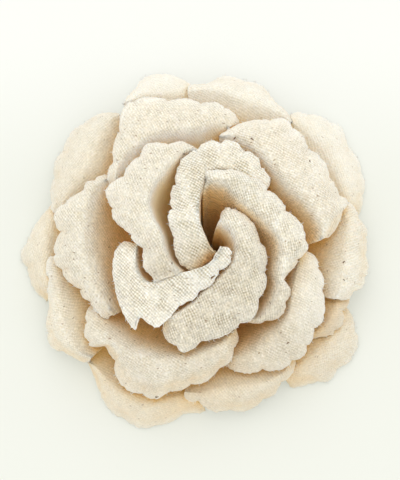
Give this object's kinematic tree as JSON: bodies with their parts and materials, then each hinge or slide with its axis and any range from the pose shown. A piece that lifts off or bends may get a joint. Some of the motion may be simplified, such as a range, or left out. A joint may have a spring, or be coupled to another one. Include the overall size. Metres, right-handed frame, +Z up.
{
  "type": "flower corsage",
  "caption": "Cloth rose brooch with a rolled heart, folded petals with scalloped rims, a round felt back and a straight pin behind it.",
  "frame": {"origin": "middle of the bounding box on the surface that the corsage lies on, under the flower", "axes": "+Z up out of the flower's face, +Y towards the top of the flower as it is looked at, +X to its right"},
  "size_m": [0.1018, 0.1037, 0.0415],
  "materials": {
    "linen": "cream plain-weave linen, matte, cut rims with short frayed ends",
    "felt": "cream wool felt, matte, fuzzy",
    "steel": "nickel-plated, satin"
  },
  "bodies": {
    "root": {"heart_petal_1": "linen", "heart_petal_2": "linen", "heart_petal_3": "linen", "heart_petal_4": "linen", "heart_petal_5": "linen", "middle_petal_1": "linen", "middle_petal_2": "linen", "middle_petal_3": "linen", "middle_petal_4": "linen", "middle_petal_5": "linen", "outer_petal_1": "linen", "outer_petal_2": "linen", "outer_petal_3": "linen", "outer_petal_4": "linen", "outer_petal_5": "linen", "outer_petal_6": "linen", "base_petal_1": "linen", "base_petal_2": "linen", "base_petal_3": "linen", "base_petal_4": "linen", "base_petal_5": "linen", "backing": "felt", "brooch_pin": "steel"}
  },
  "joints": []
}
